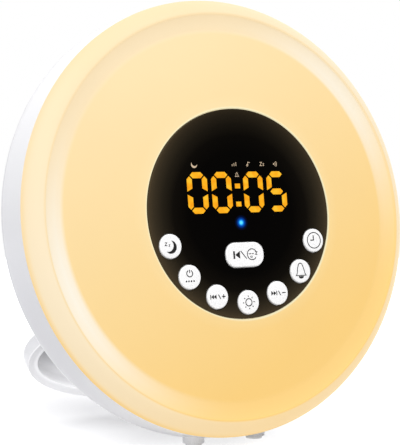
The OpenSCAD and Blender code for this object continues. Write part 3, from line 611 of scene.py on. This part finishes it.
def blue_light_material():
    paint = Finish("blue_light")
    off = off_status_light(paint, paint.disc_place())
    core = paint.ramp(off, (0.0, srgb(90, 225, 255)), (0.6, srgb(64, 208, 255)), (1.0, srgb(34, 172, 252)))
    paint.surface(Base_Color=srgb(10, 30, 50), Roughness=0.3, Emission_Color=core, Emission_Strength=1.1)
    return paint.material


coated("lit_segments", amber_light_material())
coated("status_light", blue_light_material())

# ---------------------------------------------------------------- keys
# Seven round keys on an arc and a wide snooze key, moulded in white plastic with a
# softly rounded edge. A flange behind the panel keeps each key in its hole.

# The radius of the keys' arc, and the angle from each key to the next in degrees
key_ring_r, key_step = 34.4, 23.35
key_r, key_edge = 4.6, 0.45
key_top = panel_h + 0.7
key_flange_top = panel_h - 2.05
key_names = ["sleep", "power", "previous", "light", "next", "alarm", "clock"]


def key_place(index):
    """The middle of a round key, by its place in the row of names."""
    angle = math.radians(-90 + (index - 3) * key_step)
    return key_ring_r * math.cos(angle), key_ring_r * math.sin(angle)


def moulded(paint, colour, roughness=0.38, specular=0.4, grain_scale=2500, bump=0.05, drift=0.03):
    """Give a finish the surface of moulded plastic, with a fine grain and a slow drift in tone."""
    grain = paint.grain(colour, scale=grain_scale, drift_scale=32, drift=drift, roughness=roughness)
    paint.surface(Base_Color=grain["Color"], Roughness=grain["Roughness"], Specular_IOR_Level=specular)
    paint.bump(grain["Height"], bump)


def plastic(name, colour, glow=0.0, **surface):
    """Moulded plastic of one colour, with a little painted light added as a glow where one is given."""
    paint = Finish(name)
    moulded(paint, colour, **surface)
    paint.surface(Emission_Color=colour, Emission_Strength=glow)
    return paint.material


def key_outline():
    """A round key's section: stem, flange behind the panel, straight side and rounded edge."""
    stem_r, stem_end, flange_t, flange_over = 2.0, 6.7, 1.0, 0.5
    outline = [(0, stem_end), (stem_r, stem_end), (stem_r, key_flange_top - flange_t),
               (key_r + flange_over, key_flange_top - flange_t), (key_r + flange_over, key_flange_top),
               (key_r, key_flange_top)]
    outline += arc((key_r - key_edge, key_top - key_edge), key_edge, key_edge, 0, 90, 8)
    return outline + [(0, key_top)]


def smooth_copy(name, node_name, material, crease=32, edge_round=0.0):
    """A merged, smoothly shaded copy of a carried-over piece, with its edges rounded where that is given."""
    shape = bmesh.new()
    shape.from_mesh(frame["nodes"][node_name].data)
    weld_gap, sliver = 2e-6, 1e-7
    bmesh.ops.remove_doubles(shape, verts=shape.verts, dist=weld_gap)
    bmesh.ops.dissolve_degenerate(shape, edges=shape.edges, dist=sliver)
    if edge_round:
        flat, sharp = math.radians(0.6), math.radians(35)
        bmesh.ops.dissolve_limit(shape, angle_limit=flat, verts=shape.verts, edges=shape.edges)
        edges = [e for e in shape.edges if len(e.link_faces) == 2 and e.calc_face_angle(0) > sharp]
        bmesh.ops.bevel(shape, geom=edges, offset=edge_round, offset_type="OFFSET", segments=3, profile=0.5,
                        affect="EDGES", clamp_overlap=True)
    mesh = bpy.data.meshes.new(name)
    shape.to_mesh(mesh)
    shape.free()
    carried_normals = mesh.attributes.get("custom_normal")
    if carried_normals:
        mesh.attributes.remove(carried_normals)
    mesh.materials.clear()
    mesh.materials.append(material)
    shade_smooth(mesh, crease)
    return mesh


# The keys get a little painted light, added as a glow, to look whiter
key_white = plastic("key_white", srgb(250, 250, 249), glow=0.1, roughness=0.35)
for index, name in enumerate(key_names):
    cap = turned(name + "_key_cap", key_outline(), key_white, steps=72, at=key_place(index))
    piece(name + "_key_cap", cap, name + "_button", [name + "_key"])
snooze_cap = smooth_copy("snooze_key_cap", "snooze_key", key_white)
piece("snooze_key_cap", snooze_cap, "snooze_button", ["snooze_key"])

# ---------------------------------------------------------------- printed pictograms
# Black ink, a few hundredths of a millimetre thick, on each key: strokes and filled
# shapes, drawn from the middle of the key in millimetres.

ink_height, ink_sink = 0.03, 0.06
line_w = 0.36
bold_w = 0.34
snooze_at = (0, -16.1)


def stroke(points, width, closed=False):
    """Faces of a line of constant width through the points."""
    count = len(points)
    sides = []
    for k, point in enumerate(points):
        before = points[(k - 1) % count] if closed or k > 0 else point
        after = points[(k + 1) % count] if closed or k < count - 1 else point
        back = Vector((point[0] - before[0], point[1] - before[1]))
        ahead = Vector((after[0] - point[0], after[1] - point[1]))
        back = back.normalized() if back.length else ahead.normalized()
        ahead = ahead.normalized() if ahead.length else back
        middle = (back + ahead).normalized()
        normal = Vector((-middle.y, middle.x)) * (width / 2 / max(0.5, middle.dot(ahead)))
        sides.append(((point[0] + normal.x, point[1] + normal.y), (point[0] - normal.x, point[1] - normal.y)))
    faces = []
    for k in range(count if closed else count - 1):
        (left, right), (next_left, next_right) = sides[k], sides[(k + 1) % count]
        faces.append([right, next_right, next_left, left])
    return faces


def ring(middle, radius, width, start=0, end=360, steps=36):
    """Faces of a ring, or of part of one."""
    whole = abs(end - start) >= 360
    points = arc(middle, radius, radius, start, end, steps)
    return stroke(points[:-1] if whole else points, width, closed=whole)


def dot(middle, radius):
    """The one face of a filled circle."""
    return [arc(middle, radius, radius, 0, 360, 20)[:-1]]


def crescent(middle, radius, bite_shift, bite_radius):
    """A crescent: a disc less another one that is shifted towards the bite."""
    steps = 18
    gap = math.hypot(*bite_shift)
    bite_way = math.atan2(bite_shift[1], bite_shift[0])
    along = (gap ** 2 + radius ** 2 - bite_radius ** 2) / (2 * gap)
    half = math.acos(along / radius)
    start = math.degrees(bite_way + half)
    outer = arc(middle, radius, radius, start, start + 360 - 2 * math.degrees(half), steps)
    bite = (middle[0] + bite_shift[0], middle[1] + bite_shift[1])
    tip_half = math.acos((along - gap) / bite_radius)
    inner = arc(bite, bite_radius, bite_radius, math.degrees(bite_way + tip_half),
                math.degrees(bite_way - tip_half) + 360, steps)
    return [[outer[k], outer[k + 1], inner[k + 1], inner[k]] for k in range(steps)]


def shifted(faces, by):
    """The faces, moved to the right and up."""
    return [[(x + by[0], y + by[1]) for x, y in face] for face in faces]


def inked(name, faces, level, material, body):
    """Raise flat faces into a thin closed layer on the face of the clock."""
    places, loops = {}, []
    for face in faces:
        loop = []
        for point in face:
            key = (round(point[0], 4), round(point[1], 4))
            index = places.setdefault(key, len(places))
            if index not in loop:
                loop.append(index)
        area = sum(face[k - 1][0] * face[k][1] - face[k][0] * face[k - 1][1] for k in range(len(face)))
        if len(loop) > 2:
            loops.append(loop if area > 0 else loop[::-1])
    used = {(loop[k - 1], loop[k]) for loop in loops for k in range(len(loop))}
    flat = sorted(places, key=places.get)
    count = len(flat)
    verts = [(u, v, level - ink_sink) for u, v in flat] + [(u, v, level + ink_height) for u, v in flat]
    solid = [[i + count for i in loop] for loop in loops] + [loop[::-1] for loop in loops]
    solid += [[a, b, b + count, a + count] for a, b in sorted(used) if (b, a) not in used]
    mesh = bpy.data.meshes.new(name)
    mesh.from_pydata(verts, [], solid)
    mesh.validate()
    mesh.materials.append(material)
    mesh.transform(disc_mm)
    piece(name, mesh, body)


key_ink = plastic("key_ink", srgb(14, 13, 13), roughness=0.45, specular=0.2, grain_scale=5000, bump=0.02)


def key_mark(name, faces):
    """Print a pictogram on a key."""
    at = snooze_at if name == "snooze" else key_place(key_names.index(name))
    inked(name + "_key_mark", shifted(faces, at), key_top, key_ink, name + "_button")


sleep_mark = crescent((-0.13, -0.31), 2.5, (-1.13, 0.63), 2.35)
sleep_mark += shifted(stroke([(-0.5, 0.55), (0.4, 0.55), (-0.45, -0.5), (0.5, -0.5)], 0.28), (-2.1, 0.8))
sleep_mark += shifted(stroke([(-0.25, 0.4), (0.25, 0.4), (-0.2, -0.4), (0.3, -0.4)], 0.2), (-0.7, 0.3))
key_mark("sleep", sleep_mark)

power_mark = ring((0, 0), 1.25, line_w, 118, 422, 30) + stroke([(0, 1.4), (0, 0.2)], line_w)
for across in (-1.65, -0.55, 0.55, 1.65):
    power_mark += dot((across, -2.9), 0.34)
key_mark("power", shifted(power_mark, (-0.2, 1.35)))


def skip_mark(tip, way):
    """Two arrowheads that point one way, with a bar before the first of them."""
    half, deep, bar_gap = 0.9, 1.15, 0.25
    heads = []
    for k in (0, 1):
        point = tip - way * k * deep
        heads.append([(point, 0), (point - way * deep, -half), (point - way * deep, half)])
    bar = tip + way * bar_gap
    return heads + stroke([(bar, -half), (bar, half)], bold_w)


previous_mark = skip_mark(-3.0, -1) + stroke([(0.2, 0.85), (1.1, -0.9)], line_w)
previous_mark += stroke([(1.7, 0), (3.3, 0)], line_w) + stroke([(2.5, 0.8), (2.5, -0.8)], line_w)
key_mark("previous", previous_mark)
next_mark = skip_mark(-0.95, 1) + stroke([(0.15, 0.85), (1.05, -0.9)], line_w)
next_mark += stroke([(1.75, 0), (3.4, 0)], line_w)
key_mark("next", next_mark)

sun_at = (-0.1, -34.45)
sun_turn = math.radians(3)


def ray_tree():
    """Geometry nodes that set the sun's rays round its ring."""
    tree, wiring, given = new_tree("sun_rays", Rays="Int", Ring_Radius="Float", Ray_Size="Vector",
                                   Material="Material")
    circle = wiring.node("GeometryNodeMeshCircle", Vertices=given["Rays"], Radius=given["Ring Radius"])
    ray = wiring.node("GeometryNodeMeshCube", Size=given["Ray Size"])
    where = wiring.node("GeometryNodeInputPosition")
    turn = wiring.node("FunctionNodeAlignRotationToVector", Vector=where.outputs[0])
    turn.axis = "X"
    placed = wiring.node("GeometryNodeInstanceOnPoints", Points=circle.outputs["Mesh"],
                         Instance=ray.outputs["Mesh"], Rotation=turn.outputs["Rotation"])
    end_tree(wiring, placed.outputs["Instances"], given["Material"])
    return tree


inked("light_key_ring", ring(sun_at, 1.4, line_w), key_top, key_ink, "light_button")
ray_mesh = grown("light_key_rays", ray_tree(), {"Rays": 8, "Ring Radius": 2.35, "Material": key_ink,
                                                "Ray Size": (0.55, line_w, ink_height + ink_sink)})
ray_level = key_top + (ink_height - ink_sink) / 2
ray_mesh.transform(disc_mm @ Matrix.Translation((*sun_at, ray_level)) @ Matrix.Rotation(sun_turn, 4, "Z"))
piece("light_key_rays", ray_mesh, "light_button")

bell = [(-2.4, -1.7), (-1.9, -1.0), (-1.55, 0.9), (-1.1, 2.3)] + arc((-0.15, 2.2), 0.95, 0.9, 160, 20, 8)
bell += [(0.85, 2.3), (1.35, 0.9), (1.85, -1.0), (2.35, -1.7)]
clapper = arc((-0.02, -2.0), 1.25, 0.95, 180, 360, 12)
key_mark("alarm", stroke(bell, bold_w, closed=True) + [clapper])
hands = stroke([(-0.2, 2.0), (-0.2, 0.1), (-1.7, 0.1)], 0.44)
key_mark("clock", ring((0, 0), 3.1, bold_w, steps=48) + hands)

snooze_mark = stroke([(-5.1, -1.5), (-5.1, 1.5)], 0.75) + [[(-4.6, 0), (-2.5, -1.5), (-2.5, 1.5)]]
snooze_mark += stroke([(-2.1, 1.5), (0.4, -1.6)], line_w)
snooze_mark += ring((2.95, 0), 2.1, bold_w, 25, 325)
for side in (2.0, 3.3):
    snooze_mark += stroke(arc((side, 0.45), 0.42, 0.3, 180, 360, 8), 0.26)
snooze_mark += stroke([(4.5, 0.9), (5.3, 0.9), (4.55, -0.1), (5.4, -0.1)], 0.3)
snooze_mark += stroke(arc((2.65, -0.95), 0.4, 0.28, 0, 360, 12)[:-1], 0.22, closed=True)
key_mark("snooze", snooze_mark)

# ---------------------------------------------------------------- marks of the display
# Small signs in pale amber over the digits: moon, signal bars, note, sleep, sound and
# a bell. They are thin layers on the panel, made as the ink on the keys is.

mark_row = 18.9
sign_w, thin_w, fine_w = 0.22, 0.2, 0.18


def pale_mark_material():
    paint = Finish("pale_mark")
    grain = paint.grain(srgb(214, 190, 158), scale=3000, drift_scale=300, drift=0.3, roughness=0.4)
    paint.surface(Base_Color=srgb(60, 48, 36), Emission_Color=grain["Color"], Emission_Strength=0.85)
    return paint.material


moon = crescent((0, 0), 1.3, (0.22, 0.62), 1.2)
bars = []
for across, top in ((-0.85, 0.1), (0, 0.45), (0.85, 0.8)):
    bars += stroke([(across, -0.7), (across, top)], sign_w)
note = ring((-0.55, -0.45), 0.32, thin_w, steps=12)
note += stroke([(-0.2, -0.45), (-0.2, 0.8), (0.8, 0.55)], sign_w)
sleep = stroke([(-0.8, 0.7), (0.1, 0.7), (-0.75, -0.6), (0.2, -0.6)], sign_w)
sleep += stroke([(0.55, 0.2), (1.05, 0.2), (0.6, -0.6), (1.15, -0.6)], fine_w)
sound = dot((-0.5, 0), 0.3)
for radius, reach in ((0.75, 60), (1.3, 50)):
    sound += ring((-0.5, 0), radius, thin_w, -reach, reach, 10)
little_bell = stroke([(-0.75, -0.75), (-0.45, -0.3), (-0.4, 0.35), (0, 0.8), (0.4, 0.35), (0.45, -0.3),
                      (0.75, -0.75)], fine_w, closed=True)
display_marks = shifted(little_bell, (-0.75, 14.9))
for sign, across in ((moon, -19.5), (bars, -1.7), (note, 4.8), (sleep, 10.9), (sound, 17.1)):
    display_marks += shifted(sign, (across, mark_row))
inked("display_marks", display_marks, panel_h, pale_mark_material(), "case")

# ---------------------------------------------------------------- back shell
# The rear half of the case, one white moulding with bosses, posts and hinge lugs.
# Its outside is finely polished, so the side wall shades smoothly round, and its
# finish adds painted shade and painted light there.

polish = {"roughness": 0.3, "specular": 0.45, "grain_scale": 3000, "bump": 0.03, "drift": 0.015}
shell_colour = srgb(244, 244, 245)


def polished_white_material():
    """Polished white plastic, with painted shade on the lower left and along the line where the side wall turns
    into the back, and painted light on that line low down, at the upper left and at the bottom.
    """
    paint = Finish("shell_white")
    place = paint.disc_place()
    turn_level, turn_reach = -16.9, 1.5
    off_turn = paint.calc("ABSOLUTE", paint.minus(place["Out"], turn_level))
    at_turn = paint.ramp(paint.over(off_turn, turn_reach), (0.0, 1), (0.4, 0.8), (1.0, 0))
    # Painted shade: greyer on the lower left side, and grey along the turn into the back, most at the left
    side = paint.mix(paint.toward(place, 208, 5), shell_colour, srgb(231, 231, 234))
    shade = paint.times(at_turn, paint.times(paint.toward(place, 165, 0.5), 0.75))
    moulded(paint, paint.mix(shade, side, srgb(196, 196, 200)), **polish)
    # Painted light, added as a glow: a bright line on the turn at the lower left, and more light at the upper left
    # and the bottom
    painted_edge_highlight = paint.times(at_turn, paint.times(paint.toward(place, 236, 6), 0.3))
    painted_upper_light = paint.times(paint.toward(place, 135, 4), 0.09)
    painted_lower_light = paint.times(paint.toward(place, 248, 5), 0.11)
    painted_light = paint.plus(painted_edge_highlight, paint.plus(painted_upper_light, painted_lower_light))
    paint.surface(Emission_Color=paint.mix(painted_light, black, white), Emission_Strength=1.0)
    return paint.material


shell_white = polished_white_material()
shell_mesh = smooth_copy("back_moulding", "back_shell", shell_white)
piece("back_moulding", shell_mesh, "case", ["back_shell"])
coated("speaker_grille", shell_white)
coated("cell_cover", shell_white)

# ---------------------------------------------------------------- stand and feet
# The folding foot: an oval white dish on a steel hinge pin, with a rubber pad under
# its heel. Two small rubber feet carry the case in front.

# How far the foot leans, where its pin is, and its oval hollow, whose middle is measured
# down the foot from the pin
foot_lean = math.radians(58)
pin_y, pin_z = 13.71 * MM, 50.82 * MM
hollow_half_width, hollow_half_length, hollow_middle = 57.7 * MM, 21.5 * MM, 22.9 * MM
web_level, rim_level = 4.5 * MM, -2.35 * MM


def stand_white_material():
    """The shell's white, with painted light low down, on the rim's face and along the hollow's edge, painted shade
    in the upper hollow, and a little grey on the outer wall.
    """
    paint = Finish("stand_white")
    axes = paint.node("ShaderNodeSeparateXYZ", paint.object_place()).outputs
    # Down the foot from its pin, and the level over the pin at a right angle to the foot
    back = paint.minus(axes["Y"], pin_y)
    rise = paint.minus(axes["Z"], pin_z)
    down = paint.minus(paint.times(back, math.cos(foot_lean)), paint.times(rise, math.sin(foot_lean)))
    level = paint.plus(paint.times(back, math.sin(foot_lean)), paint.times(rise, math.cos(foot_lean)))
    along = paint.minus(down, hollow_middle)
    # 1 all round the edge of the hollow
    reach = paint.distance(paint.over(axes["X"], hollow_half_width), paint.over(along, hollow_half_length))

    # Painted shade in the upper part of the hollow, and a little grey on the outer wall
    web_step, rim_step, shade_fade = 0.1 * MM, 0.15 * MM, 13 * MM
    before_web = paint.share(level, web_level + web_step, web_level - web_step)
    in_hollow = paint.times(paint.share(reach, 1.01, 0.98), before_web)
    upper = paint.share(along, shade_fade, 0)
    inner = paint.share(reach, 1.35, 0.75)
    deep_shade = paint.times(in_hollow, paint.times(upper, inner))
    behind_rim = paint.share(level, rim_level - rim_step, rim_level + rim_step)
    outer_wall = paint.times(paint.share(reach, 1.01, 1.03), behind_rim)
    wall_tone = paint.mix(outer_wall, shell_colour, srgb(233, 233, 235))
    moulded(paint, paint.mix(deep_shade, wall_tone, srgb(190, 190, 192)), **polish)

    # Painted light, added as a glow: on the rim's face, along the hollow's edge, and low down, fading upwards
    before_rim = paint.share(level, rim_level + rim_step, rim_level - rim_step)
    rim_face = paint.times(paint.share(reach, 0.99, 1.01), before_rim)
    off_edge = paint.calc("ABSOLUTE", paint.minus(reach, 1.0))
    edge_depth = 2.4 * MM
    rim_edge_highlight = paint.times(paint.share(off_edge, 0.035, 0.01), paint.share(level, 0, -edge_depth))
    painted_rim_light = paint.plus(paint.times(rim_face, 0.1), paint.times(rim_edge_highlight, 0.2))
    light_low, light_high = 16 * MM, 40 * MM
    through = paint.share(axes["Z"], light_low, light_high, 0.34, 0.0)
    painted_low_light = paint.times(through, paint.minus(1.0, deep_shade))
    painted_light = paint.scaled(shell_colour[:3], paint.plus(painted_low_light, painted_rim_light))
    paint.surface(Emission_Color=painted_light, Emission_Strength=1.0)
    return paint.material


stand_mesh = smooth_copy("stand_dish", "stand_foot", stand_white_material(), crease=40, edge_round=0.5 * MM)
piece("stand_dish", stand_mesh, "foot", ["stand_foot"])
# The pale rubber gets painted light, added as a glow, so it stays light in the shade under the case
rubber_pale = plastic("rubber_pale", srgb(232, 232, 230), glow=0.25, roughness=0.75, specular=0.2,
                      grain_scale=1500, bump=0.25)
coated("heel_pad", rubber_pale)
coated("front_feet", rubber_pale)

# ---------------------------------------------------------------- metal, boards and inner pieces
# What the case holds: the control housing with its keys' switches, the boards, the
# lamp ring and reflector, the speaker, the backup cell, and the screws.


def brushed_metal(name, colour, roughness=0.32):
    """Plated or rolled metal with a fine directional scratch."""
    paint = Finish(name)
    stretch = paint.node("ShaderNodeMapping", Vector=paint.object_place(), Scale=(1, 0.12, 1))
    noise = paint.node("ShaderNodeTexNoise", Vector=stretch.outputs["Vector"], Scale=900, Detail=4)
    scratch = noise.outputs["Fac"]
    scratch_dark = 0.82
    dark = tuple(c * scratch_dark for c in colour[:3]) + (1,)
    paint.surface(Base_Color=paint.ramp(scratch, (0.3, dark), (0.7, colour)), Metallic=1.0,
                  Roughness=paint.times_plus(scratch, 0.2, roughness - 0.1))
    paint.bump(scratch, 0.1, 0.00005)
    return paint.material


finishes = {
    "screw_steel": brushed_metal("screw_steel", srgb(190, 192, 196)),
    "switch_steel": brushed_metal("switch_steel", srgb(196, 197, 200)),
    "cell_steel": brushed_metal("cell_steel", srgb(208, 209, 212), roughness=0.25),
    "frame_steel": plastic("frame_steel", srgb(58, 58, 60), roughness=0.45),
    "magnet_grey": plastic("magnet_grey", srgb(66, 66, 68), roughness=0.55, grain_scale=1200, bump=0.2),
    "housing_white": plastic("housing_white", srgb(240, 240, 239)),
    "switch_black": plastic("switch_black", srgb(26, 26, 27), roughness=0.5),
    "board_green": plastic("board_green", srgb(16, 84, 44), roughness=0.35, drift=0.2),
    "cable_grey": plastic("cable_grey", srgb(200, 200, 196), roughness=0.5),
    "reflector_white": plastic("reflector_white", srgb(246, 246, 244), roughness=0.5),
    "lamp_board_white": plastic("lamp_board_white", srgb(240, 240, 238), roughness=0.4),
    "lamp_chip_yellow": plastic("lamp_chip_yellow", srgb(246, 232, 150), roughness=0.4),
    "socket_black": plastic("socket_black", srgb(20, 20, 21), roughness=0.4),
    "gasket_black": plastic("gasket_black", srgb(24, 24, 24), roughness=0.9, specular=0.1,
                            grain_scale=900, bump=0.5),
    "cone_paper": plastic("cone_paper", srgb(30, 30, 31), roughness=0.85, specular=0.15,
                          grain_scale=1400, bump=0.4),
}
slot_of = {entry["node"]: entry["material_slot"] for entry in frame["record"]["subparts"]}
dressed = {"front_diffuser", "face_panel", "lit_segments", "status_light", "back_shell", "speaker_grille",
           "cell_cover", "stand_foot", "heel_pad", "front_feet", "snooze_key"}
dressed |= {name + "_key" for name in key_names}
for node_name in frame["nodes"]:
    if node_name not in dressed:
        coated(node_name, finishes[slot_of[node_name]])
